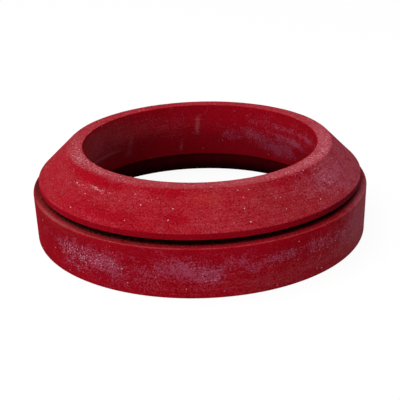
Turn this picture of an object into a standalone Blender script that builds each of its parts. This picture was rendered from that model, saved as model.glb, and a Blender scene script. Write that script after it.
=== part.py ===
"""A tank to bowl gasket: the moulded rubber ring that seals a toilet's tank to its bowl.

One solid of revolution about Z, standing on its flat base. Units are metres. The conical
side faces up, and it enters the bowl's inlet in use. The recess in the base fits over the
nut of the flush valve, and the groove between the band and the cone's lip runs all round.
"""

import math

import bpy

# Section of the ring, measured outwards from the bore.
BORE_RADIUS = 0.0377
RIM_WIDTH = 0.0047
CONE_RUN = 0.0096
LIP_SETBACK = 0.0020
BAND_DRAFT = 0.00015

# Section of the ring, measured upwards from the base.
BAND_HEIGHT = 0.0155
GROOVE_OPENING = 0.0015
LIP_HEIGHT = 0.00185
CONE_RISE = 0.00935

# The groove under the lip, which narrows towards its rounded root.
GROOVE_DEPTH = 0.0060
GROOVE_ROOT_HEIGHT = 0.0011

# The recess in the base, and the bore above it: a flare, then a straight stretch up to the rim.
BASE_WALL = 0.0078
RECESS_DEPTH = 0.0081
FLARE_WIDTH = 0.0034
STRAIGHT_BORE = 0.0096

# Radii of the moulded edges.
BORE_EDGE = 0.0004
RIM_EDGE = 0.0008
LIP_EDGE = 0.0003
BAND_EDGE = 0.00085
BASE_EDGE = 0.0005
RECESS_EDGE = 0.0004
RECESS_CORNER = 0.0006

# Facets: steps round the axis, and the most that one step of a rounded edge turns.
STEPS = 96
ARC_STEP = math.radians(30.0)

RUBBER_COLOUR = (0.33, 0.012, 0.022, 1.0)
RUBBER_ROUGHNESS = 0.55


def section_corners():
    """The section's corners as (radius, height, edge radius), from the bore's top edge outwards and down."""
    rim_radius = BORE_RADIUS + RIM_WIDTH
    lip_radius = rim_radius + CONE_RUN
    band_radius = lip_radius + LIP_SETBACK
    root_radius = lip_radius - GROOVE_DEPTH
    recess_radius = band_radius - BASE_WALL
    flare_radius = BORE_RADIUS + FLARE_WIDTH

    lip_bottom = BAND_HEIGHT + GROOVE_OPENING
    lip_top = lip_bottom + LIP_HEIGHT
    height = lip_top + CONE_RISE
    root_top = BAND_HEIGHT + GROOVE_ROOT_HEIGHT

    return [
        (BORE_RADIUS, height, BORE_EDGE),
        (rim_radius, height, RIM_EDGE),
        (lip_radius, lip_top, LIP_EDGE),
        (lip_radius, lip_bottom, LIP_EDGE),
        (root_radius, root_top, GROOVE_ROOT_HEIGHT / 2),
        (root_radius, BAND_HEIGHT, GROOVE_ROOT_HEIGHT / 2),
        (band_radius, BAND_HEIGHT, BAND_EDGE),
        (band_radius - BAND_DRAFT, 0.0, BASE_EDGE),
        (recess_radius, 0.0, RECESS_EDGE),
        (recess_radius, RECESS_DEPTH, RECESS_CORNER),
        (flare_radius, RECESS_DEPTH, RECESS_EDGE),
        (BORE_RADIUS, height - STRAIGHT_BORE, 0.0),
    ]


def rounded_corner(before, corner, after, radius):
    """Points of the arc that rounds one corner, where its two sides are long enough for the radius."""
    to_before = (before[0] - corner[0], before[1] - corner[1])
    to_after = (after[0] - corner[0], after[1] - corner[1])
    length_before = math.hypot(*to_before)
    length_after = math.hypot(*to_after)
    unit_before = (to_before[0] / length_before, to_before[1] / length_before)
    unit_after = (to_after[0] / length_after, to_after[1] / length_after)

    cosine = unit_before[0] * unit_after[0] + unit_before[1] * unit_after[1]
    half_angle = math.acos(cosine) / 2
    # The arc takes at most half of each side, so that two neighbouring arcs never cross.
    reach = min(radius / math.tan(half_angle), length_before / 2, length_after / 2)
    if reach == 0.0:
        return [corner]

    radius = reach * math.tan(half_angle)
    bisector = (unit_before[0] + unit_after[0], unit_before[1] + unit_after[1])
    to_centre = radius / math.sin(half_angle) / math.hypot(*bisector)
    centre = (corner[0] + bisector[0] * to_centre, corner[1] + bisector[1] * to_centre)

    start = (corner[0] + unit_before[0] * reach, corner[1] + unit_before[1] * reach)
    first_angle = math.atan2(start[1] - centre[1], start[0] - centre[0])
    turn = math.pi - 2 * half_angle
    if unit_before[0] * unit_after[1] - unit_before[1] * unit_after[0] > 0:
        turn = -turn
    pieces = max(1, math.ceil(abs(turn) / ARC_STEP))
    return [
        (
            centre[0] + radius * math.cos(first_angle + turn * i / pieces),
            centre[1] + radius * math.sin(first_angle + turn * i / pieces),
        )
        for i in range(pieces + 1)
    ]


def section_outline():
    """The closed outline of the section, with its edges rounded."""
    corners = section_corners()
    outline = []
    for i, (radius, height, edge_radius) in enumerate(corners):
        before = corners[i - 1][:2]
        after = corners[(i + 1) % len(corners)][:2]
        outline += rounded_corner(before, (radius, height), after, edge_radius)
    return outline


def turned(name, outline, steps):
    """A solid of revolution: the closed outline of (radius, height) points turned about Z."""
    mesh = bpy.data.meshes.new(name)
    points = [(radius, 0.0, height) for radius, height in outline]
    edges = [(i, (i + 1) % len(points)) for i in range(len(points))]
    mesh.from_pydata(points, edges, [])

    body = bpy.data.objects.new(name, mesh)
    screw = body.modifiers.new("turn", "SCREW")
    screw.axis = "Z"
    screw.angle = math.tau
    screw.steps = steps
    screw.render_steps = steps
    screw.use_merge_vertices = True
    screw.merge_threshold = 0.00001
    screw.use_smooth_shade = True

    crisp = body.modifiers.new("flat faces stay flat", "WEIGHTED_NORMAL")
    crisp.keep_sharp = True
    return body


def crimson_rubber():
    """Solid crimson rubber with a satin surface."""
    material = bpy.data.materials.new("crimson_rubber")
    material.use_nodes = True
    shader = material.node_tree.nodes["Principled BSDF"]
    shader.inputs["Base Color"].default_value = RUBBER_COLOUR
    shader.inputs["Roughness"].default_value = RUBBER_ROUGHNESS
    shader.inputs["Metallic"].default_value = 0.0
    material.diffuse_color = RUBBER_COLOUR
    return material


def clear_scene():
    for old in list(bpy.data.objects):
        bpy.data.objects.remove(old)


def main():
    clear_scene()
    parts = bpy.data.collections.new("tank_to_bowl_gasket")
    bpy.context.scene.collection.children.link(parts)
    gasket = turned("gasket", section_outline(), STEPS)
    gasket.data.materials.append(crimson_rubber())
    parts.objects.link(gasket)


main()
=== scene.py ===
"""A tank to bowl gasket of moulded crimson rubber, dressed for a studio picture.

The gasket is one ring with no joints. Its section is drawn once as corners with an edge
radius each, a geometry node tree sweeps it round the axis and gives it the unevenness of
moulded rubber, and one finish covers it: crimson rubber with lilac bloom, pale specks, dark
dirt in the groove with painted shade there, in the recess and in the bore, painted
highlights on the rounded edges, and painted sheen on the rim and at the right. Sizes are in
millimetres and angles in degrees unless something says otherwise, and Blender's own units are
metres.
"""

import logging
import math
from dataclasses import dataclass, field
from enum import Enum

import bpy
import numpy as np
from mathutils import Matrix, Vector


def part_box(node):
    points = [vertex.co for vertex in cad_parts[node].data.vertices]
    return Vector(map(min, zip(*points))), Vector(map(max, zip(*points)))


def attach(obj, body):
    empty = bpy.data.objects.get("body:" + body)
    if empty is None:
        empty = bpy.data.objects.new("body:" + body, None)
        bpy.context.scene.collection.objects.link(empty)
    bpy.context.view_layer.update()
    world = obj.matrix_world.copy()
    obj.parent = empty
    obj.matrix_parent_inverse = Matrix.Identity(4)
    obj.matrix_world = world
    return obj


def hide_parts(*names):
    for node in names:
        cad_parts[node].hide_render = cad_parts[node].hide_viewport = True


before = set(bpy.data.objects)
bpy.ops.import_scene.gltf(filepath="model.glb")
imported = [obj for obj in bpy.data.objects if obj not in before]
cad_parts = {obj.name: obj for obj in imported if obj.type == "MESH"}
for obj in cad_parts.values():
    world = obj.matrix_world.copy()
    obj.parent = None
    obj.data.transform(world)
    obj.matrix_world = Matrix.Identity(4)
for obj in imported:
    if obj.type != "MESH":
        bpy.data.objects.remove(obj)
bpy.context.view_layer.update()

LOG = logging.getLogger("gasket")

MM = 0.001

# The sRGB curve is straight up to its knee and a power law above it.
SRGB_KNEE = 0.04045
SRGB_SLOPE = 12.92
SRGB_OFFSET = 0.055
SRGB_POWER = 2.4

# Socket numbers of the Mix node when it mixes colours.
MIX_FACTOR = 0
MIX_UNDER = 6
MIX_OVER = 7
MIX_RESULT = 2


def linear(hex_colour: str) -> tuple[float, float, float, float]:
    """Turn an sRGB hex colour into linear RGBA.

    Args:
        hex_colour: The colour as "#RRGGBB".

    Returns:
        Linear red, green and blue, with an alpha of 1.
    """
    channels = [int(hex_colour[i : i + 2], 16) / 255 for i in (1, 3, 5)]
    red, green, blue = [
        c / SRGB_SLOPE if c <= SRGB_KNEE else ((c + SRGB_OFFSET) / (1 + SRGB_OFFSET)) ** SRGB_POWER
        for c in channels
    ]
    return red, green, blue, 1.0


def add_node(
    tree: bpy.types.NodeTree, kind: str, inputs: dict | None = None, **settings: object
) -> bpy.types.Node:
    """Add a node to a tree, with its settings and its inputs' values or links.

    Args:
        tree: The node tree that takes the node.
        kind: Blender's name of the node's type.
        inputs: For each input, by name or number, a value or the output socket to link.
        **settings: The node's own properties, such as its operation.

    Returns:
        The new node.
    """
    node = tree.nodes.new(kind)
    for name, value in settings.items():
        setattr(node, name, value)
    for key, value in (inputs or {}).items():
        if isinstance(value, bpy.types.NodeSocket):
            tree.links.new(value, node.inputs[key])
        else:
            node.inputs[key].default_value = value
    return node


class Face(Enum):
    """The faces of the section, in order from the bore's top edge outwards and down."""

    RIM = "rim"
    CONE = "cone"
    LIP = "lip"
    GROOVE_ROOF = "groove roof"
    GROOVE_ROOT = "groove root"
    GROOVE_FLOOR = "groove floor"
    BAND = "band"
    BASE = "base"
    RECESS_WALL = "recess wall"
    LEDGE = "ledge"
    FLARE = "flare"
    BORE = "bore"


class Deposit(Enum):
    """What lies on the rubber. Each is stored on the ring as an attribute of this name."""

    # Soil here also stands for painted shade, and dust and veil partly for painted sheen on the rim
    # and at the right.
    BLOOM = "bloom"
    VEIL_AND_SHEEN = "veil_and_sheen"
    DUST_AND_SHEEN = "dust_and_sheen"
    POWDER = "powder"
    STREAKS = "streaks"
    GRIT = "grit"
    SOIL_AND_SHADE = "soil_and_shade"
    STAIN = "stain"


@dataclass(frozen=True)
class FaceState:
    """How finely a face is divided, how uneven it is, and what lies all over it."""

    spacing: float
    relief: float = 1.0
    deposits: dict[Deposit, float] = field(default_factory=dict)


# The soil on the groove, the ledge, the recess, the base and the bore is painted shade as well as
# dirt. The dust on the rim is partly painted sheen.
FACE_STATES = {
    Face.RIM: FaceState(spacing=0.6, deposits={Deposit.DUST_AND_SHEEN: 0.72, Deposit.POWDER: 0.25}),
    Face.CONE: FaceState(spacing=0.6, deposits={Deposit.DUST_AND_SHEEN: 0.5}),
    Face.LIP: FaceState(spacing=0.45, relief=1.5, deposits={Deposit.SOIL_AND_SHADE: 0.25}),
    Face.GROOVE_ROOF: FaceState(spacing=1.2, deposits={Deposit.SOIL_AND_SHADE: 1.0}),
    Face.GROOVE_ROOT: FaceState(spacing=0.8, deposits={Deposit.SOIL_AND_SHADE: 1.1}),
    Face.GROOVE_FLOOR: FaceState(
        spacing=0.5, relief=1.5, deposits={Deposit.SOIL_AND_SHADE: 1.0, Deposit.GRIT: 0.4}
    ),
    Face.BAND: FaceState(spacing=0.6, deposits={Deposit.DUST_AND_SHEEN: 0.12}),
    Face.BASE: FaceState(spacing=1.5, deposits={Deposit.SOIL_AND_SHADE: 0.3}),
    Face.RECESS_WALL: FaceState(spacing=1.5, deposits={Deposit.SOIL_AND_SHADE: 0.66}),
    Face.LEDGE: FaceState(spacing=1.2, deposits={Deposit.SOIL_AND_SHADE: 0.8}),
    Face.FLARE: FaceState(spacing=0.8, deposits={Deposit.SOIL_AND_SHADE: 0.23}),
    Face.BORE: FaceState(spacing=0.8, deposits={Deposit.SOIL_AND_SHADE: 0.2}),
}


@dataclass(frozen=True)
class Patch:
    """A cloud of one deposit on one face, added to what lies there, or taken off it.

    The share says how far across the face its middle lies, from the face's first corner.
    """

    deposit: Deposit
    face: Face
    azimuth: float
    share: float
    half_angle: float
    half_width: float
    strength: float


# Each row gives the deposit, the face, the azimuth, the share across the face, the half angle,
# the half width and the strength.
PATCHES = (
    # Crystals of bloom in a strip round the band, thickest at the left.
    Patch(Deposit.BLOOM, Face.BAND, -152.0, 0.36, 6.0, 1.6, 0.5),
    Patch(Deposit.BLOOM, Face.BAND, -139.5, 0.45, 5.5, 3.2, 0.75),
    Patch(Deposit.BLOOM, Face.BAND, -131.5, 0.46, 5.0, 4.0, 0.8),
    Patch(Deposit.BLOOM, Face.BAND, -134.0, 0.78, 6.0, 2.4, 0.4),
    Patch(Deposit.BLOOM, Face.BAND, -124.0, 0.48, 4.5, 4.2, 0.5),
    Patch(Deposit.BLOOM, Face.BAND, -118.0, 0.50, 4.0, 4.0, 0.52),
    Patch(Deposit.BLOOM, Face.BAND, -112.0, 0.60, 14.0, 5.5, 0.25),
    Patch(Deposit.BLOOM, Face.BAND, -97.0, 0.42, 7.0, 3.6, 0.4),
    Patch(Deposit.BLOOM, Face.BAND, -87.5, 0.56, 6.0, 3.4, 0.65),
    Patch(Deposit.BLOOM, Face.BAND, -66.0, 0.40, 9.0, 2.2, 0.5),
    Patch(Deposit.BLOOM, Face.BAND, -47.0, 0.45, 14.0, 3.4, 0.52),
    # The smoother veil that joins them, in waves, and spreads at the far right, where it is partly
    # painted sheen.
    Patch(Deposit.VEIL_AND_SHEEN, Face.BAND, -126.0, 0.48, 14.0, 4.6, 0.2),
    Patch(Deposit.VEIL_AND_SHEEN, Face.BAND, -113.0, 0.72, 12.0, 5.0, 0.35),
    Patch(Deposit.VEIL_AND_SHEEN, Face.BAND, -104.0, 0.42, 5.0, 2.2, 0.4),
    Patch(Deposit.VEIL_AND_SHEEN, Face.BAND, -97.5, 0.42, 4.0, 3.2, 0.5),
    Patch(Deposit.VEIL_AND_SHEEN, Face.BAND, -92.0, 0.50, 3.5, 4.0, 0.5),
    Patch(Deposit.VEIL_AND_SHEEN, Face.BAND, -87.0, 0.56, 3.5, 3.2, 0.4),
    Patch(Deposit.VEIL_AND_SHEEN, Face.BAND, -84.0, 0.44, 3.0, 2.4, 0.3),
    Patch(Deposit.VEIL_AND_SHEEN, Face.BAND, -79.0, 0.32, 3.5, 2.2, 0.6),
    Patch(Deposit.VEIL_AND_SHEEN, Face.BAND, -75.0, 0.52, 3.0, 1.6, 0.55),
    Patch(Deposit.VEIL_AND_SHEEN, Face.BAND, -69.0, 0.40, 4.5, 2.4, 0.32),
    Patch(Deposit.VEIL_AND_SHEEN, Face.BAND, -61.0, 0.36, 5.0, 2.0, 0.3),
    Patch(Deposit.VEIL_AND_SHEEN, Face.BAND, -51.0, 0.37, 6.0, 2.4, 0.3),
    Patch(Deposit.VEIL_AND_SHEEN, Face.BAND, -36.0, 0.45, 10.0, 5.0, 0.3),
    Patch(Deposit.VEIL_AND_SHEEN, Face.BAND, -20.0, 0.40, 15.0, 14.0, 0.8),
    # Dust on the band: thick at the far right, where it is partly painted sheen, a line on the top
    # edge at the left that is partly a painted highlight, and more of it at the foot in front than
    # at the top.
    Patch(Deposit.DUST_AND_SHEEN, Face.BAND, -20.0, 0.40, 18.0, 14.0, 1.05),
    Patch(Deposit.DUST_AND_SHEEN, Face.BAND, 15.0, 0.45, 45.0, 14.0, 0.45),
    Patch(Deposit.DUST_AND_SHEEN, Face.BAND, -144.0, 0.20, 14.0, 3.0, -0.2),
    Patch(Deposit.DUST_AND_SHEEN, Face.BAND, -90.0, 0.12, 24.0, 2.0, -0.12),
    Patch(Deposit.DUST_AND_SHEEN, Face.BAND, -62.0, 0.85, 45.0, 6.0, 0.35),
    Patch(Deposit.DUST_AND_SHEEN, Face.BAND, -146.0, 0.0, 20.0, 0.6, 1.2),
    # Round the back the strip goes on in looser clouds, with dust below it.
    Patch(Deposit.BLOOM, Face.BAND, 22.0, 0.45, 12.0, 3.2, 0.4),
    Patch(Deposit.BLOOM, Face.BAND, 58.0, 0.52, 8.0, 3.6, 0.5),
    Patch(Deposit.BLOOM, Face.BAND, 96.0, 0.42, 11.0, 3.0, 0.45),
    Patch(Deposit.BLOOM, Face.BAND, 131.0, 0.54, 7.0, 3.6, 0.5),
    Patch(Deposit.BLOOM, Face.BAND, 168.0, 0.46, 12.0, 3.0, 0.4),
    Patch(Deposit.VEIL_AND_SHEEN, Face.BAND, 8.0, 0.44, 12.0, 4.0, 0.4),
    Patch(Deposit.VEIL_AND_SHEEN, Face.BAND, 40.0, 0.38, 14.0, 3.0, 0.4),
    Patch(Deposit.VEIL_AND_SHEEN, Face.BAND, 77.0, 0.46, 12.0, 3.6, 0.45),
    Patch(Deposit.VEIL_AND_SHEEN, Face.BAND, 113.0, 0.50, 12.0, 3.4, 0.45),
    Patch(Deposit.VEIL_AND_SHEEN, Face.BAND, 150.0, 0.42, 14.0, 3.2, 0.4),
    Patch(Deposit.DUST_AND_SHEEN, Face.BAND, 90.0, 0.80, 80.0, 6.0, 0.3),
    # The cone: fine streaks at the left and the back, clean red fields, crystals, a veil and dust
    # at the right that are partly painted sheen, and an orange stain in front.
    Patch(Deposit.STREAKS, Face.CONE, -135.0, 0.32, 13.0, 1.8, 0.3),
    Patch(Deposit.STREAKS, Face.CONE, -141.0, 0.37, 5.0, 0.45, 0.9),
    Patch(Deposit.STREAKS, Face.CONE, -133.5, 0.29, 3.0, 0.45, 0.9),
    Patch(Deposit.STREAKS, Face.CONE, -129.5, 0.33, 3.0, 0.45, 0.9),
    Patch(Deposit.STREAKS, Face.CONE, -124.5, 0.31, 2.0, 0.8, 0.6),
    Patch(Deposit.STREAKS, Face.CONE, -112.0, 0.34, 16.0, 2.0, 0.4),
    Patch(Deposit.DUST_AND_SHEEN, Face.CONE, -136.0, 0.10, 14.0, 1.6, -0.5),
    Patch(Deposit.DUST_AND_SHEEN, Face.CONE, -101.0, 0.12, 8.0, 1.6, -0.35),
    Patch(Deposit.DUST_AND_SHEEN, Face.CONE, -98.5, 0.70, 4.0, 1.4, -0.3),
    Patch(Deposit.DUST_AND_SHEEN, Face.CONE, -122.0, 0.80, 18.0, 2.6, -0.25),
    Patch(Deposit.DUST_AND_SHEEN, Face.CONE, -52.0, 0.11, 9.0, 1.4, -0.4),
    Patch(Deposit.BLOOM, Face.CONE, -38.0, 0.42, 12.0, 4.2, 0.34),
    Patch(Deposit.VEIL_AND_SHEEN, Face.CONE, -36.0, 0.40, 13.0, 4.6, 0.15),
    Patch(Deposit.VEIL_AND_SHEEN, Face.CONE, -12.0, 0.50, 36.0, 14.0, 0.75),
    Patch(Deposit.DUST_AND_SHEEN, Face.CONE, -12.0, 0.50, 38.0, 14.0, 0.25),
    Patch(Deposit.DUST_AND_SHEEN, Face.CONE, 62.0, 0.14, 12.0, 1.6, -0.4),
    Patch(Deposit.STREAKS, Face.CONE, 100.0, 0.36, 18.0, 1.6, 0.5),
    Patch(Deposit.DUST_AND_SHEEN, Face.CONE, 138.0, 0.72, 12.0, 1.8, -0.35),
    Patch(Deposit.STAIN, Face.CONE, -88.8, 0.27, 9.0, 2.6, 0.7),
    # The rim: thickest dust and powder at the left and the front, least at the back. The dust
    # stands partly for painted sheen on the rim.
    Patch(Deposit.DUST_AND_SHEEN, Face.RIM, -155.0, 0.50, 30.0, 2.6, 0.15),
    Patch(Deposit.DUST_AND_SHEEN, Face.RIM, -60.0, 0.60, 60.0, 2.4, 0.2),
    Patch(Deposit.DUST_AND_SHEEN, Face.RIM, 95.0, 0.50, 60.0, 4.0, -0.22),
    Patch(Deposit.POWDER, Face.RIM, -155.0, 0.55, 28.0, 2.4, 0.9),
    Patch(Deposit.POWDER, Face.RIM, -70.0, 0.75, 50.0, 1.2, 0.5),
    Patch(Deposit.POWDER, Face.RIM, -25.0, 0.60, 30.0, 2.4, 0.4),
    # The bore: a veil at the right, in clouds and two arcs, with a little bloom and dust over it.
    Patch(Deposit.VEIL_AND_SHEEN, Face.BORE, 72.0, 0.10, 7.0, 2.8, 0.6),
    Patch(Deposit.VEIL_AND_SHEEN, Face.BORE, 61.0, 0.28, 5.0, 2.2, 0.5),
    Patch(Deposit.VEIL_AND_SHEEN, Face.BORE, 54.0, 0.05, 7.0, 3.2, 0.6),
    Patch(Deposit.VEIL_AND_SHEEN, Face.FLARE, 46.0, 0.75, 6.0, 4.0, 0.5),
    Patch(Deposit.VEIL_AND_SHEEN, Face.FLARE, 37.0, 0.90, 7.0, 3.6, 0.7),
    Patch(Deposit.VEIL_AND_SHEEN, Face.BORE, 24.0, 0.28, 7.0, 2.0, 0.55),
    Patch(Deposit.VEIL_AND_SHEEN, Face.BORE, 40.0, 0.36, 7.0, 0.9, 0.75),
    Patch(Deposit.VEIL_AND_SHEEN, Face.BORE, 30.0, 0.27, 6.0, 0.9, 0.8),
    Patch(Deposit.VEIL_AND_SHEEN, Face.BORE, 37.0, 0.60, 10.0, 0.9, 0.75),
    Patch(Deposit.VEIL_AND_SHEEN, Face.BORE, 18.0, 0.64, 10.0, 0.9, 0.65),
    Patch(Deposit.VEIL_AND_SHEEN, Face.BORE, 54.0, 0.72, 9.0, 2.0, 0.3),
    Patch(Deposit.VEIL_AND_SHEEN, Face.BORE, 10.0, 0.60, 16.0, 4.0, 0.3),
    Patch(Deposit.BLOOM, Face.BORE, 46.0, 0.25, 26.0, 6.0, 0.25),
    Patch(Deposit.DUST_AND_SHEEN, Face.BORE, 28.0, 0.55, 26.0, 9.0, 0.25),
    # Upright smudges at its back, and settled dust there and at the left, with a faint line low.
    Patch(Deposit.DUST_AND_SHEEN, Face.BORE, 90.1, 0.60, 1.0, 1.5, 0.6),
    Patch(Deposit.DUST_AND_SHEEN, Face.BORE, 90.5, 0.32, 1.2, 2.4, 0.8),
    Patch(Deposit.DUST_AND_SHEEN, Face.FLARE, 99.3, 0.62, 1.1, 2.6, 0.9),
    Patch(Deposit.DUST_AND_SHEEN, Face.BORE, 130.0, 0.17, 1.2, 1.6, 0.5),
    Patch(Deposit.DUST_AND_SHEEN, Face.FLARE, 130.5, 0.75, 2.2, 2.0, 0.5),
    Patch(Deposit.DUST_AND_SHEEN, Face.BORE, 160.0, 0.5, 35.0, 12.0, 0.7),
    Patch(Deposit.DUST_AND_SHEEN, Face.BORE, 152.0, 0.0, 14.0, 0.3, 0.9),
    Patch(Deposit.DUST_AND_SHEEN, Face.BORE, 108.0, 0.45, 36.0, 5.0, 0.35),
    # Painted shade, as a thin dark film, at the back and the left of the bore, and in the recess.
    Patch(Deposit.SOIL_AND_SHADE, Face.BORE, 130.0, 0.5, 45.0, 12.0, 0.15),
    Patch(Deposit.SOIL_AND_SHADE, Face.FLARE, 125.0, 0.5, 60.0, 12.0, 0.15),
    Patch(Deposit.SOIL_AND_SHADE, Face.RECESS_WALL, 90.0, 0.0, 120.0, 3.5, 0.4),
    # The ledge under the groove is in painted shade, clean along its edge, and gritty, most of all
    # at the left. The lip above it has dirt and painted shade, more in front and at the right.
    Patch(Deposit.SOIL_AND_SHADE, Face.GROOVE_FLOOR, -90.0, 1.0, 55.0, 1.1, -0.55),
    Patch(Deposit.SOIL_AND_SHADE, Face.GROOVE_FLOOR, -20.0, 1.0, 40.0, 1.2, -0.62),
    Patch(Deposit.SOIL_AND_SHADE, Face.LIP, -32.0, 0.75, 22.0, 1.6, 0.35),
    Patch(Deposit.SOIL_AND_SHADE, Face.GROOVE_FLOOR, -150.0, 1.0, 24.0, 2.0, -0.45),
    Patch(Deposit.SOIL_AND_SHADE, Face.GROOVE_FLOOR, 90.0, 1.0, 110.0, 1.0, -0.25),
    Patch(Deposit.SOIL_AND_SHADE, Face.LIP, -85.0, 0.5, 45.0, 4.0, 0.12),
    Patch(Deposit.GRIT, Face.GROOVE_FLOOR, -150.0, 0.95, 40.0, 5.0, 1.0),
    Patch(Deposit.GRIT, Face.GROOVE_FLOOR, -60.0, 1.0, 60.0, 1.2, 0.5),
)


@dataclass(frozen=True)
class Corner:
    """A corner of the section, with its rounding and the face that begins there.

    Wear is how rubbed it is and how much painted highlight its rounding gets, and core is how
    much of the mould core's offset it takes.
    """

    radius: float
    height: float
    rounding: float
    face: Face
    wear_and_highlight: float = 0.0
    core: float = 0.0


@dataclass(frozen=True)
class SectionPoint:
    """A point of the drawn outline, with its run along it, its wear and its core's share.

    On a rounded corner the point belongs to two faces, and `share` says how much to the second.
    """

    radius: float
    height: float
    run: float
    before: Face
    face: Face
    share: float
    # How worn the point is, and how much painted highlight it gets.
    wear_and_highlight: float
    core: float


@dataclass(frozen=True)
class GasketSection:
    """The ring's section: the outer sizes from the frame, and the rest as moulded.

    A size that ends in `edge`, `corner` or `bend` is the radius of a rounding.
    """

    band_radius: float
    height: float
    bore_radius: float = 37.7
    rim_width: float = 4.7
    lip_setback: float = 2.0
    lip_height: float = 1.85
    cone_rise: float = 9.35
    groove_opening: float = 1.5
    groove_depth: float = 6.0
    groove_root_height: float = 1.1
    band_draft: float = 0.15
    base_wall: float = 7.8
    recess_depth: float = 8.1
    flare_width: float = 3.4
    straight_bore: float = 9.6
    bore_edge: float = 0.2
    rim_edge: float = 0.8
    lip_edge: float = 0.3
    lip_under_edge: float = 0.2
    band_edge: float = 0.65
    base_edge: float = 0.25
    recess_edge: float = 0.4
    recess_corner: float = 0.6
    flare_edge: float = 0.4
    bore_bend: float = 20.0
    arc_pieces: int = 6
    wear_and_highlight_sharpness: int = 3

    @classmethod
    def from_frame(cls, node: str) -> "GasketSection":
        """Take the outer sizes from a CAD node's box.

        Args:
            node: The CAD node's name.

        Returns:
            The section whose outer sizes are the node's.
        """
        low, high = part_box(node)
        return cls(band_radius=(high.x - low.x) / 2 / MM, height=(high.z - low.z) / MM)

    @property
    def middle_radius(self) -> float:
        """Halfway between the bore and the band."""
        return (self.bore_radius + self.band_radius) / 2

    def corners(self) -> list[Corner]:
        """The section's corners, from the bore's top edge outwards and down.

        Returns:
            One corner for each face, in the outline's order.
        """
        rim_radius = self.bore_radius + self.rim_width
        lip_radius = self.band_radius - self.lip_setback
        root_radius = lip_radius - self.groove_depth
        recess_radius = self.band_radius - self.base_wall
        flare_radius = self.bore_radius + self.flare_width
        lip_top = self.height - self.cone_rise
        lip_bottom = lip_top - self.lip_height
        band_top = lip_bottom - self.groove_opening
        root_top = band_top + self.groove_root_height
        base_radius = self.band_radius - self.band_draft
        bend_height = self.height - self.straight_bore
        root_rounding = self.groove_root_height / 2
        return [
            Corner(self.bore_radius, self.height, self.bore_edge, Face.RIM, wear_and_highlight=0.7, core=1.0),
            Corner(rim_radius, self.height, self.rim_edge, Face.CONE, wear_and_highlight=0.3, core=0.6),
            Corner(lip_radius, lip_top, self.lip_edge, Face.LIP, wear_and_highlight=0.3),
            Corner(lip_radius, lip_bottom, self.lip_under_edge, Face.GROOVE_ROOF),
            Corner(root_radius, root_top, root_rounding, Face.GROOVE_ROOT),
            Corner(root_radius, band_top, root_rounding, Face.GROOVE_FLOOR),
            Corner(self.band_radius, band_top, self.band_edge, Face.BAND, wear_and_highlight=1.0),
            Corner(base_radius, 0.0, self.base_edge, Face.BASE, wear_and_highlight=0.2),
            Corner(recess_radius, 0.0, self.recess_edge, Face.RECESS_WALL),
            Corner(recess_radius, self.recess_depth, self.recess_corner, Face.LEDGE),
            Corner(flare_radius, self.recess_depth, self.flare_edge, Face.FLARE, wear_and_highlight=0.2, core=0.3),
            Corner(self.bore_radius, bend_height, self.bore_bend, Face.BORE, core=0.6),
        ]

    def rounded(self, before: Corner, corner: Corner, after: Corner) -> list[Vector]:
        """The points that round one corner.

        Args:
            before: The corner ahead of it in the outline.
            corner: The corner to round.
            after: The corner that follows it.

        Returns:
            The arc's points in the outline's order. Where the sides are too short for the whole
            rounding, the arc is smaller and reaches halfway along the shorter one.
        """
        here = Vector((corner.radius, corner.height))
        to_before = Vector((before.radius, before.height)) - here
        to_after = Vector((after.radius, after.height)) - here
        shortest = min(to_before.length, to_after.length)
        to_before.normalize()
        to_after.normalize()
        half_angle = to_before.angle(to_after) / 2
        reach = min(corner.rounding / math.tan(half_angle), shortest / 2)
        rounding = reach * math.tan(half_angle)
        centre = here + (to_before + to_after).normalized() * (rounding / math.sin(half_angle))
        start = here + to_before * reach - centre
        turn = math.pi - 2 * half_angle
        if to_before.cross(to_after) > 0:
            turn = -turn
        angles = [turn * i / self.arc_pieces for i in range(self.arc_pieces + 1)]
        return [centre + Matrix.Rotation(angle, 2) @ start for angle in angles]

    def outline(self) -> list[SectionPoint]:
        """The closed outline, divided finely enough to carry the rubber's unevenness.

        Returns:
            The outline's points in order. The first follows the last.
        """
        corners = self.corners()
        count = len(corners)
        arcs = [
            self.rounded(corners[i - 1], corners[i], corners[(i + 1) % count]) for i in range(count)
        ]
        points: list[SectionPoint] = []
        run = 0.0
        last = arcs[0][0]
        for i, corner in enumerate(corners):
            before, after = corners[i - 1].face, corners[(i + 1) % count]
            arc, end = arcs[i], arcs[(i + 1) % count][0]
            for k, place in enumerate(arc):
                run += (place - last).length
                last = place
                # Wear and painted highlight are greatest at the middle of a rounded edge.
                share = k / self.arc_pieces
                wear_and_highlight = corner.wear_and_highlight * math.sin(math.pi * share) ** self.wear_and_highlight_sharpness
                points.append(
                    SectionPoint(
                        place.x, place.y, run, before, corner.face, share, wear_and_highlight, corner.core
                    )
                )
            pieces = max(1, round((end - arc[-1]).length / FACE_STATES[corner.face].spacing))
            for k in range(1, pieces):
                place = arc[-1].lerp(end, k / pieces)
                run += (place - last).length
                last = place
                core = corner.core + (after.core - corner.core) * k / pieces
                points.append(
                    SectionPoint(place.x, place.y, run, before, corner.face, 1.0, 0.0, core)
                )
        return points

    def face_span(self, face: Face) -> tuple[float, float]:
        """Where a face lies in the outline's run.

        Args:
            face: The face.

        Returns:
            The run at the face's first and last point, in outline order.
        """
        runs = [point.run for point in self.outline() if point.face is face]
        return runs[0], runs[-1]


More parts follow.
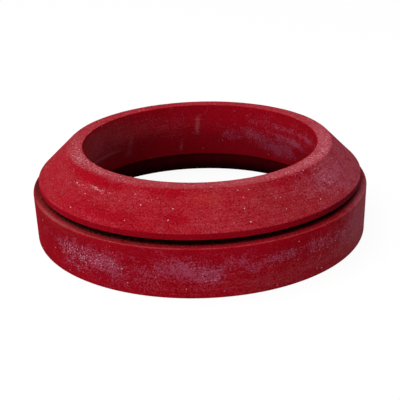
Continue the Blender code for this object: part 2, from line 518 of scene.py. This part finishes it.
@dataclass(frozen=True)
class RubberRelief:
    """The unevenness of the moulded rubber, as heights and the widths of its swells.

    It fades out below the height of `foot`. The wall wanders in and out as a whole, and the
    mould's core stands a little off centre to the right, by `core_offset`.
    """

    swell_height: float = 0.05
    swell_size: float = 9.0
    grain_height: float = 0.03
    grain_size: float = 1.8
    wander: float = 0.08
    wander_size: float = 70.0
    core_offset: float = 0.4
    seed: float = 3.7
    foot: float = 1.0


@dataclass(frozen=True)
class Pattern:
    """Cloudy noise in the finish, by the width of its features and its fineness."""

    name: str
    size: float
    detail: float


@dataclass(frozen=True)
class Grains:
    """Scattered grains in the finish: the width of a grain's own cell, and its radius.

    A grain is full as far as `core` of its radius, and has faded away at `edge` of it.
    """

    name: str
    cell: float
    radius: float
    core: float = 0.5
    edge: float = 1.5


@dataclass(frozen=True)
class Coat:
    """One coat over the rubber: its colour, how well it covers, and where it lies.

    It lies where the weighted sum of some patterns and deposits passes from `low` to `high`,
    and where `grains` names scattered grains, only on those.
    """

    name: str
    colour: str
    cover: float
    low: float
    high: float
    weights: dict[str, float]
    grains: str | None = None


@dataclass(frozen=True)
class CrimsonRubber:
    """Natural rubber, coloured crimson and compression moulded, with bloom and dirt on it.

    The mould leaves a matt surface with a fine grain, which hardly shines. Sulphur and wax have
    come to the surface as a lilac bloom, pale filler shows as specks, and dirt lies in the groove.
    The finish also paints light: shade in the groove, the recess, the bore and the grain's pits,
    highlights on the rounded edges, and sheen on the rim and at the right.
    The real grain and crystals are too fine to show in a render, so both are drawn coarser, at
    nearly half a millimetre.
    """

    name: str = "crimson_compression_moulded_rubber"
    rubber: str = "#A4081A"
    roughness: float = 0.85
    bloomed_roughness: float = 0.95
    specular_level: float = 0.02
    streak_length: float = 10.0
    streak_width: float = 0.5
    streak_detail: float = 3.0
    bump_height: float = 0.04
    bump_grain: float = 0.6
    patterns: tuple[Pattern, ...] = (
        Pattern("mottle", size=14.0, detail=2.0),
        Pattern("blotch", size=5.0, detail=3.0),
        Pattern("cloud", size=3.0, detail=4.0),
        Pattern("grain", size=0.45, detail=1.0),
    )
    grains: tuple[Grains, ...] = (
        Grains("crystal", cell=0.42, radius=0.19),
        Grains("speck", cell=1.5, radius=0.16),
    )
    coats: tuple[Coat, ...] = (
        Coat(
            "brighter batch", "#AC0A1F", cover=1.0, low=0.35, high=0.65,
            weights={"mottle": 0.6, "blotch": 0.4},
        ),
        # Painted shade in the mould's pits, on the highest values of the grain noise.
        Coat(
            "painted shade in mould pits", "#40040D", cover=0.45, low=0.45, high=0.8,
            weights={"grain": 1.0, "bloom": 0.15},
        ),
        Coat("stain", "#C04018", cover=0.3, low=0.5, high=1.4, weights={"stain": 1.0, "cloud": 0.6}),
        # Haze of bloom, and painted sheen where the veil lies at the right.
        Coat(
            "haze and sheen", "#BC5C80", cover=0.5, low=0.2, high=1.35,
            weights={
                "veil_and_sheen": 1.2, "bloom": 0.72, "powder": 0.3, "cloud": 1.6, "streak": 0.6,
                "grain": -2.4,
            },
        ),
        # Settled dust, and painted sheen on the rim and at the right.
        Coat(
            "settled dust and sheen", "#CE7078", cover=0.46, low=0.12, high=1.22,
            weights={"dust_and_sheen": 0.9, "cloud": 0.4, "streak": 0.45, "grain": -0.9},
        ),
        Coat(
            "drawn dust", "#E08890", cover=0.35, low=0.95, high=1.3,
            weights={"streaks": 0.7, "streak": 1.0, "cloud": 0.5, "grain": -0.6},
        ),
        Coat(
            "crystals", "#FFCAD6", cover=0.86, low=1.33, high=1.97,
            weights={
                "crystal": 1.0, "bloom": 0.56, "veil_and_sheen": 0.12, "powder": 0.45, "dust_and_sheen": 0.15,
                "streaks": 0.5, "streak": 0.2, "grain": -0.4, "blotch": 0.65,
            },
            grains="crystal",
        ),
        Coat(
            "specks", "#F8E4E8", cover=0.85, low=0.81, high=0.98,
            weights={"speck": 1.0, "powder": 0.12, "dust_and_sheen": 0.04, "soil_and_shade": -0.3},
            grains="speck",
        ),
        # Worn edges, and painted highlights along the rounded edges.
        Coat(
            "worn and highlit edge", "#B4545A", cover=0.4, low=0.5, high=1.2,
            weights={"wear_and_highlight": 0.9, "blotch": 1.0, "grain": -0.8},
        ),
        # Grime and painted shade: near black wherever the soil and shade lie thick.
        Coat("grime and painted shade", "#100103", cover=0.96, low=0.2, high=0.9, weights={"soil_and_shade": 0.8, "cloud": 0.15}),
        Coat(
            "grit", "#6E4238", cover=0.7, low=0.7, high=1.3,
            weights={"crystal": 0.7, "grit": 0.7},
            grains="crystal",
        ),
    )

    def material(self) -> bpy.types.Material:
        """Build the rubber's material, which reads the ring's attributes and Object coordinates.

        Returns:
            The material.
        """
        material = bpy.data.materials.new(self.name)
        material.use_nodes = True
        tree = material.node_tree
        tree.nodes.clear()
        sources = self._sources(tree)

        base = add_node(tree, "ShaderNodeRGB")
        base.outputs[0].default_value = linear(self.rubber)
        colour = base.outputs[0]
        masks: dict[str, bpy.types.NodeSocket] = {}
        for coat in self.coats:
            masks[coat.name] = self._mask(tree, coat, sources)
            cover = add_node(
                tree, "ShaderNodeMath", {0: masks[coat.name], 1: coat.cover}, operation="MULTIPLY"
            )
            laid = add_node(
                tree,
                "ShaderNodeMix",
                {MIX_FACTOR: cover.outputs[0], MIX_UNDER: colour, MIX_OVER: linear(coat.colour)},
                data_type="RGBA",
            )
            colour = laid.outputs[MIX_RESULT]

        roughness = add_node(
            tree,
            "ShaderNodeMapRange",
            {"Value": masks["haze and sheen"], "To Min": self.roughness, "To Max": self.bloomed_roughness},
        )
        grainy = add_node(
            tree,
            "ShaderNodeMath",
            {0: sources["grain"], 1: self.bump_grain, 2: masks["crystals"]},
            operation="MULTIPLY_ADD",
        )
        bump = add_node(
            tree,
            "ShaderNodeBump",
            {"Height": grainy.outputs[0], "Distance": self.bump_height * MM, "Strength": 1.0},
        )
        shader = add_node(
            tree,
            "ShaderNodeBsdfPrincipled",
            {
                "Base Color": colour,
                "Roughness": roughness.outputs["Result"],
                "Specular IOR Level": self.specular_level,
                "Normal": bump.outputs["Normal"],
            },
        )
        add_node(tree, "ShaderNodeOutputMaterial", {"Surface": shader.outputs["BSDF"]})
        return material

    def _sources(self, tree: bpy.types.NodeTree) -> dict[str, bpy.types.NodeSocket]:
        """Everything that a coat may be weighed from, by name.

        Args:
            tree: The material's node tree.

        Returns:
            The ring's deposits, which carry some painted shade and sheen, its wear and painted
            highlight, the noises, and the chance and body of each grain.
        """
        place = add_node(tree, "ShaderNodeTexCoord").outputs["Object"]
        sources = {
            name: add_node(tree, "ShaderNodeAttribute", attribute_name=name).outputs["Fac"]
            for name in [deposit.value for deposit in Deposit] + ["wear_and_highlight"]
        }
        for pattern in self.patterns:
            noise = add_node(
                tree,
                "ShaderNodeTexNoise",
                {"Vector": place, "Scale": 1 / (pattern.size * MM), "Detail": pattern.detail},
            )
            sources[pattern.name] = noise.outputs["Fac"]

        # Streaks follow the ring round, so they are long along the sweep and narrow across it.
        lay = add_node(tree, "ShaderNodeAttribute", attribute_name="lay").outputs["Vector"]
        along, across = 1 / (self.streak_length * MM), 1 / (self.streak_width * MM)
        drawn_out = add_node(
            tree, "ShaderNodeMapping", {"Vector": lay, "Scale": (along, along, across)}
        )
        streak = add_node(
            tree,
            "ShaderNodeTexNoise",
            {"Vector": drawn_out.outputs["Vector"], "Scale": 1.0, "Detail": self.streak_detail},
        )
        sources["streak"] = streak.outputs["Fac"]

        for grains in self.grains:
            cells = add_node(
                tree, "ShaderNodeTexVoronoi", {"Vector": place, "Scale": 1 / (grains.cell * MM)}
            )
            chance = add_node(tree, "ShaderNodeSeparateColor", {"Color": cells.outputs["Color"]})
            sources[grains.name] = chance.outputs["Red"]
            radius = grains.radius / grains.cell
            body = add_node(
                tree,
                "ShaderNodeMapRange",
                {
                    "Value": cells.outputs["Distance"],
                    "From Min": radius * grains.edge,
                    "From Max": radius * grains.core,
                },
                interpolation_type="SMOOTHSTEP",
            )
            sources[grains.name + " body"] = body.outputs["Result"]
        return sources

    @staticmethod
    def _mask(
        tree: bpy.types.NodeTree, coat: Coat, sources: dict[str, bpy.types.NodeSocket]
    ) -> bpy.types.NodeSocket:
        """Where a coat lies.

        Args:
            tree: The material's node tree.
            coat: The coat.
            sources: What the coat's weights name.

        Returns:
            A socket that goes from 0, where there is none, to 1.
        """
        total: bpy.types.NodeSocket | float = 0.0
        for name, weight in coat.weights.items():
            added = add_node(
                tree,
                "ShaderNodeMath",
                {0: sources[name], 1: weight, 2: total},
                operation="MULTIPLY_ADD",
            )
            total = added.outputs[0]
        mask = add_node(
            tree,
            "ShaderNodeMapRange",
            {"Value": total, "From Min": coat.low, "From Max": coat.high},
            interpolation_type="SMOOTHSTEP",
        ).outputs["Result"]
        if coat.grains is None:
            return mask
        body = sources[coat.grains + " body"]
        return add_node(tree, "ShaderNodeMath", {0: mask, 1: body}, operation="MULTIPLY").outputs[0]


@dataclass
class MouldedRing:
    """The gasket itself: one ring, swept from its section and dressed as moulded rubber."""

    section: GasketSection
    finish: CrimsonRubber = field(default_factory=CrimsonRubber)
    relief: RubberRelief = field(default_factory=RubberRelief)
    steps: int = 550

    def build(self) -> bpy.types.Object:
        """Sweep the section, lay the deposits on it, and put the ring in the frame.

        Returns:
            The ring's object, riding on the frame's only body.
        """
        ring = self._swept(self._section_wire(), self.finish.material())
        self._lay_deposits(ring.data)
        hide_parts("gasket")
        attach(ring, "root")
        return ring

    def _section_wire(self) -> bpy.types.Object:
        """The section as a closed wire in the XZ plane, with what the sweep and the finish read.

        Returns:
            The wire's object, linked to the scene.
        """
        points = self.section.outline()
        count = len(points)
        mesh = bpy.data.meshes.new("gasket_section")
        mesh.from_pydata(
            [(point.radius * MM, 0.0, point.height * MM) for point in points],
            [(i, (i + 1) % count) for i in range(count)],
            [],
        )
        # The relief fades out towards the base, so that the ring still stands flat.
        fade = [min(1.0, point.height / self.relief.foot) for point in points]
        columns = {
            "run": [point.run * MM for point in points],
            "wear_and_highlight": [point.wear_and_highlight for point in points],
            "core": [point.core for point in points],
            "relief": [
                FACE_STATES[point.face].relief * share for point, share in zip(points, fade)
            ],
        }
        for deposit in Deposit:
            lying = {face: state.deposits.get(deposit, 0.0) for face, state in FACE_STATES.items()}
            columns[deposit.value] = [
                lying[point.before] * (1 - point.share) + lying[point.face] * point.share
                for point in points
            ]
        for name, values in columns.items():
            mesh.attributes.new(name, "FLOAT", "POINT").data.foreach_set("value", values)
        wire = bpy.data.objects.new("gasket_section", mesh)
        bpy.context.scene.collection.objects.link(wire)
        return wire

    def _sweep_tree(self) -> bpy.types.NodeTree:
        """The node tree that turns the section wire into the uneven ring.

        Returns:
            The tree, whose inputs are named for the sweep's sizes.
        """
        tree = bpy.data.node_groups.new("moulded_ring", "GeometryNodeTree")
        sockets = {
            "Section": "NodeSocketGeometry",
            "Middle Radius": "NodeSocketFloat",
            "Steps": "NodeSocketInt",
            "Swell Height": "NodeSocketFloat",
            "Swell Size": "NodeSocketFloat",
            "Grain Height": "NodeSocketFloat",
            "Grain Size": "NodeSocketFloat",
            "Wander": "NodeSocketFloat",
            "Wander Size": "NodeSocketFloat",
            "Core Offset": "NodeSocketFloat",
            "Seed": "NodeSocketFloat",
            "Rubber": "NodeSocketMaterial",
        }
        for name, kind in sockets.items():
            tree.interface.new_socket(name, in_out="INPUT", socket_type=kind)
        tree.interface.new_socket("Ring", in_out="OUTPUT", socket_type="NodeSocketGeometry")
        given = add_node(tree, "NodeGroupInput").outputs

        # The section is laid in the sweep's own plane, with its origin on the middle circle.
        inward = add_node(
            tree, "ShaderNodeMath", {0: given["Middle Radius"], 1: -1.0}, operation="MULTIPLY"
        )
        shift = add_node(tree, "ShaderNodeCombineXYZ", {"X": inward.outputs[0]})
        laid = add_node(
            tree,
            "GeometryNodeTransform",
            {
                "Geometry": given["Section"],
                "Translation": shift.outputs[0],
                "Rotation": (math.pi / 2, 0.0, 0.0),
            },
        )
        profile = add_node(tree, "GeometryNodeMeshToCurve", {"Mesh": laid.outputs[0]})
        circle = add_node(
            tree,
            "GeometryNodeCurvePrimitiveCircle",
            {"Resolution": given["Steps"], "Radius": given["Middle Radius"]},
        )
        swept = add_node(
            tree,
            "GeometryNodeCurveToMesh",
            {"Curve": circle.outputs["Curve"], "Profile Curve": profile.outputs["Curve"]},
        )

        # Swells and grain push the surface along its normal, as far as each face's relief says.
        # Noise goes from 0 to 1, so it is doubled and lowered by 1 to push both ways.
        place = add_node(tree, "GeometryNodeInputPosition").outputs[0]
        relief = add_node(
            tree, "GeometryNodeInputNamedAttribute", {"Name": "relief"}, data_type="FLOAT"
        )
        total: bpy.types.NodeSocket | float = 0.0
        for size, height in (("Swell Size", "Swell Height"), ("Grain Size", "Grain Height")):
            scale = add_node(tree, "ShaderNodeMath", {0: 1.0, 1: given[size]}, operation="DIVIDE")
            noise = add_node(
                tree,
                "ShaderNodeTexNoise",
                {"Vector": place, "W": given["Seed"], "Scale": scale.outputs[0], "Detail": 1.0},
                noise_dimensions="4D",
            )
            centred = add_node(
                tree,
                "ShaderNodeMath",
                {0: noise.outputs[0], 1: 2.0, 2: -1.0},
                operation="MULTIPLY_ADD",
            )
            pushed = add_node(
                tree,
                "ShaderNodeMath",
                {0: centred.outputs[0], 1: given[height], 2: total},
                operation="MULTIPLY_ADD",
            )
            total = pushed.outputs[0]
        amount = add_node(
            tree, "ShaderNodeMath", {0: total, 1: relief.outputs[0]}, operation="MULTIPLY"
        )
        normal = add_node(tree, "GeometryNodeInputNormal").outputs[0]
        offset = add_node(
            tree, "ShaderNodeVectorMath", {0: normal, "Scale": amount.outputs[0]}, operation="SCALE"
        )
        uneven = add_node(
            tree,
            "GeometryNodeSetPosition",
            {"Geometry": swept.outputs[0], "Offset": offset.outputs[0]},
        )

        # Rubber rests slightly out of round: each upright slice moves in or out as a whole.
        flat = add_node(
            tree, "ShaderNodeVectorMath", {0: place, 1: (1.0, 1.0, 0.0)}, operation="MULTIPLY"
        )
        outwards = add_node(tree, "ShaderNodeVectorMath", {0: flat.outputs[0]}, operation="NORMALIZE")
        on_circle = add_node(
            tree,
            "ShaderNodeVectorMath",
            {0: outwards.outputs[0], "Scale": given["Middle Radius"]},
            operation="SCALE",
        )
        slow = add_node(tree, "ShaderNodeMath", {0: 1.0, 1: given["Wander Size"]}, operation="DIVIDE")
        wander = add_node(
            tree,
            "ShaderNodeTexNoise",
            {
                "Vector": on_circle.outputs[0],
                "W": given["Seed"],
                "Scale": slow.outputs[0],
                "Detail": 0.0,
            },
            noise_dimensions="4D",
        )
        swing = add_node(
            tree,
            "ShaderNodeMath",
            {0: wander.outputs[0], 1: 2.0, 2: -1.0},
            operation="MULTIPLY_ADD",
        )
        reach = add_node(
            tree, "ShaderNodeMath", {0: swing.outputs[0], 1: given["Wander"]}, operation="MULTIPLY"
        )
        drift = add_node(
            tree,
            "ShaderNodeVectorMath",
            {0: outwards.outputs[0], "Scale": reach.outputs[0]},
            operation="SCALE",
        )
        rested = add_node(
            tree,
            "GeometryNodeSetPosition",
            {"Geometry": uneven.outputs[0], "Offset": drift.outputs[0]},
        )

        # What the mould's core forms is moved aside with the core.
        core = add_node(tree, "GeometryNodeInputNamedAttribute", {"Name": "core"}, data_type="FLOAT")
        aside = add_node(
            tree,
            "ShaderNodeMath",
            {0: core.outputs[0], 1: given["Core Offset"]},
            operation="MULTIPLY",
        )
        shift_aside = add_node(tree, "ShaderNodeCombineXYZ", {"X": aside.outputs[0]})
        cored = add_node(
            tree,
            "GeometryNodeSetPosition",
            {"Geometry": rested.outputs[0], "Offset": shift_aside.outputs[0]},
        )

        smooth = add_node(tree, "GeometryNodeSetShadeSmooth", {0: cored.outputs[0]})
        real = add_node(tree, "GeometryNodeRealizeInstances", {0: smooth.outputs[0]})
        dressed = add_node(
            tree,
            "GeometryNodeSetMaterial",
            {"Geometry": real.outputs[0], "Material": given["Rubber"]},
        )
        add_node(tree, "NodeGroupOutput", {0: dressed.outputs[0]})
        return tree

    def _swept(self, wire: bpy.types.Object, material: bpy.types.Material) -> bpy.types.Object:
        """Run the sweep on the section wire and keep its result as a plain mesh.

        Args:
            wire: The section wire, which is removed afterwards.
            material: The rubber.

        Returns:
            The ring's object, with no modifier left on it.
        """
        tree = self._sweep_tree()
        sweep = wire.modifiers.new("sweep", "NODES")
        sweep.node_group = tree
        values = {
            "Middle Radius": self.section.middle_radius * MM,
            "Steps": self.steps,
            "Swell Height": self.relief.swell_height * MM,
            "Swell Size": self.relief.swell_size * MM,
            "Grain Height": self.relief.grain_height * MM,
            "Grain Size": self.relief.grain_size * MM,
            "Wander": self.relief.wander * MM,
            "Wander Size": self.relief.wander_size * MM,
            "Core Offset": self.relief.core_offset * MM,
            "Seed": self.relief.seed,
            "Rubber": material,
        }
        identifiers = {item.name: item.identifier for item in tree.interface.items_tree}
        for name, value in values.items():
            sweep[identifiers[name]] = value
        evaluated = wire.evaluated_get(bpy.context.evaluated_depsgraph_get())
        mesh = bpy.data.meshes.new_from_object(evaluated)
        mesh.name = "gasket_ring"
        ring = bpy.data.objects.new("gasket_ring", mesh)
        bpy.context.scene.collection.objects.link(ring)
        bpy.data.objects.remove(wire)
        return ring

    def _lay_deposits(self, mesh: bpy.types.Mesh) -> None:
        """Add the patches to the deposits, and a position that follows the ring round.

        Args:
            mesh: The ring's mesh, with its run along the section and each face's deposits.
        """
        count = len(mesh.vertices)
        places = np.empty(count * 3)
        mesh.vertices.foreach_get("co", places)
        places = places.reshape(count, 3)
        azimuth = np.arctan2(places[:, 1], places[:, 0])
        run = np.empty(count)
        mesh.attributes["run"].data.foreach_get("value", run)

        for deposit in Deposit:
            attribute = mesh.attributes[deposit.value]
            amount = np.empty(count)
            attribute.data.foreach_get("value", amount)
            for patch in PATCHES:
                if patch.deposit is not deposit:
                    continue
                first, last = self.section.face_span(patch.face)
                middle = (first + (last - first) * patch.share) * MM
                turn = np.angle(np.exp(1j * (azimuth - math.radians(patch.azimuth))))
                around = turn / math.radians(patch.half_angle)
                across = (run - middle) / (patch.half_width * MM)
                amount = np.maximum(amount + patch.strength * np.exp(-(around**2 + across**2)), 0.0)
            attribute.data.foreach_set("value", amount)

        radius = self.section.middle_radius * MM
        lay = np.column_stack((np.cos(azimuth) * radius, np.sin(azimuth) * radius, run))
        mesh.attributes.new("lay", "FLOAT_VECTOR", "POINT").data.foreach_set("vector", lay.ravel())


def looked_at(tree: bpy.types.NodeTree) -> bpy.types.NodeSocket:
    """Whether a ray comes from the eye, straight or by way of gloss or glass.

    Args:
        tree: The node tree of the floor or the world.

    Returns:
        A socket that is 1 for those rays, and 0 for the light that falls on the object.
    """
    rays = add_node(tree, "ShaderNodeLightPath").outputs
    seen = rays["Is Camera Ray"]
    for kind in ("Is Glossy Ray", "Is Transmission Ray"):
        either = add_node(
            tree, "ShaderNodeMath", {0: seen, 1: rays[kind]}, operation="MAXIMUM"
        )
        seen = either.outputs[0]
    return seen


@dataclass(frozen=True)
class PaleFloor:
    """A plain pale floor that reads white to the eye and keeps the ring's shadow."""

    half_size: float = 3000.0
    drop: float = 0.1
    bounce: str = "#989898"
    shadow_share: float = 0.08
    shown_share: float = 0.94

    def build(self) -> bpy.types.Object:
        """Lay the floor just under the ring.

        Returns:
            The floor's object.
        """
        reach = self.half_size * MM
        level = -self.drop * MM
        mesh = bpy.data.meshes.new("studio_floor")
        corners = [(x * reach, y * reach, level) for x, y in ((-1, -1), (1, -1), (1, 1), (-1, 1))]
        mesh.from_pydata(corners, [], [(0, 1, 2, 3)])
        mesh.materials.append(self._material())
        floor = bpy.data.objects.new("studio_floor", mesh)
        bpy.context.scene.collection.objects.link(floor)
        return floor

    def _material(self) -> bpy.types.Material:
        """A matt board: grey to the light that bounces off it, white to whoever looks at it.

        Returns:
            The floor's material.
        """
        material = bpy.data.materials.new("matt_floor_board")
        material.use_nodes = True
        tree = material.node_tree
        tree.nodes.clear()
        bounce = add_node(tree, "ShaderNodeBsdfDiffuse", {"Color": linear(self.bounce)})
        shaded = add_node(tree, "ShaderNodeBsdfDiffuse", {"Color": (self.shadow_share,) * 3 + (1.0,)})
        shown = add_node(tree, "ShaderNodeEmission", {"Strength": self.shown_share})
        seen = add_node(tree, "ShaderNodeAddShader", {0: shaded.outputs[0], 1: shown.outputs[0]})
        surface = add_node(
            tree,
            "ShaderNodeMixShader",
            {0: looked_at(tree), 1: bounce.outputs[0], 2: seen.outputs[0]},
        )
        add_node(tree, "ShaderNodeOutputMaterial", {"Surface": surface.outputs[0]})
        return material


@dataclass(frozen=True)
class Lamp:
    """A large square lamp that faces the ring, by its place in the sky, its size and its power."""

    name: str
    azimuth: float
    elevation: float
    watts: float
    size: float = 600.0
    distance: float = 800.0

    def hang(self) -> bpy.types.Object:
        """Hang the lamp.

        Returns:
            The lamp's object.
        """
        data = bpy.data.lights.new(self.name, "AREA")
        data.energy = self.watts
        data.size = self.size * MM
        lamp = bpy.data.objects.new(self.name, data)
        turn, rise = math.radians(self.azimuth), math.radians(self.elevation)
        level = math.cos(rise)
        towards = Vector((math.cos(turn) * level, math.sin(turn) * level, math.sin(rise)))
        lamp.location = towards * (self.distance * MM)
        lamp.rotation_euler = towards.to_track_quat("Z", "Y").to_euler()
        bpy.context.scene.collection.objects.link(lamp)
        return lamp


@dataclass(frozen=True)
class StudioLight:
    """An even room and two soft lamps, one high at the left and one low at the front left."""

    room_grey: float = 0.32
    lamps: tuple[Lamp, ...] = (
        Lamp("overhead_lamp", azimuth=180.0, elevation=66.0, watts=3.8),
        Lamp("front_left_lamp", azimuth=-113.0, elevation=18.0, watts=2.1, size=400.0),
    )

    def build(self) -> list[bpy.types.Object]:
        """Light the room and hang the lamps.

        Returns:
            The lamps' objects.
        """
        world = bpy.data.worlds.new("pale_room")
        world.use_nodes = True
        tree = world.node_tree
        tree.nodes.clear()
        room = add_node(tree, "ShaderNodeBackground", {"Color": (self.room_grey,) * 3 + (1.0,)})
        backdrop = add_node(tree, "ShaderNodeBackground", {"Color": (1.0, 1.0, 1.0, 1.0)})
        surface = add_node(
            tree,
            "ShaderNodeMixShader",
            {0: looked_at(tree), 1: room.outputs[0], 2: backdrop.outputs[0]},
        )
        add_node(tree, "ShaderNodeOutputWorld", {"Surface": surface.outputs[0]})
        bpy.context.scene.world = world
        return [lamp.hang() for lamp in self.lamps]


@dataclass(frozen=True)
class ViewCamera:
    """A camera in front of the ring and above it, dipped and rolled as the picture's was.

    It stands `distance` from a point on the ring's axis, moved to the right by `aside`, looks
    lower than that point by `dip`, and sees nothing closer than `nearest`.
    """

    target_height: float = 14.1
    aside: float = -0.15
    distance: float = 270.0
    elevation: float = 21.749
    dip: float = 1.467
    roll: float = 1.789
    lens: float = 73.6
    sensor: float = 36.0
    nearest: float = 10.0

    def build(self) -> bpy.types.Object:
        """Place the camera and make it the scene's own.

        Returns:
            The camera's object.
        """
        data = bpy.data.cameras.new("view_camera")
        data.lens = self.lens
        data.sensor_width = self.sensor
        data.clip_start = self.nearest * MM
        camera = bpy.data.objects.new("view_camera", data)
        rise = math.radians(self.elevation)
        tilt = math.radians(self.elevation + self.dip)
        place = Vector((0.0, -math.cos(rise), math.sin(rise))) * self.distance
        place += Vector((self.aside, 0.0, self.target_height))
        tip = Matrix.Rotation(math.pi / 2 - tilt, 4, "X")
        roll = Matrix.Rotation(-math.radians(self.roll), 4, "Z")
        camera.matrix_world = Matrix.Translation(place * MM) @ (tip @ roll)
        bpy.context.scene.collection.objects.link(camera)
        bpy.context.scene.camera = camera
        return camera


def main() -> None:
    """Build the ring, the floor, the light and the camera, and report each of them."""
    logging.basicConfig(level=logging.INFO, format="%(name)s: %(message)s")
    bpy.context.scene.view_settings.view_transform = "Standard"

    section = GasketSection.from_frame("gasket")
    ring = MouldedRing(section).build()
    faces, points = len(ring.data.polygons), len(section.outline())
    LOG.info("%s: %d faces, %d section points", ring.name, faces, points)

    floor = PaleFloor().build()
    LOG.info("%s: laid", floor.name)

    for lamp in StudioLight().build():
        LOG.info("%s: %.1f W", lamp.name, lamp.data.energy)

    camera = ViewCamera().build()
    LOG.info("%s: %.1f mm lens", camera.name, camera.data.lens)


if __name__ == "__main__":
    main()
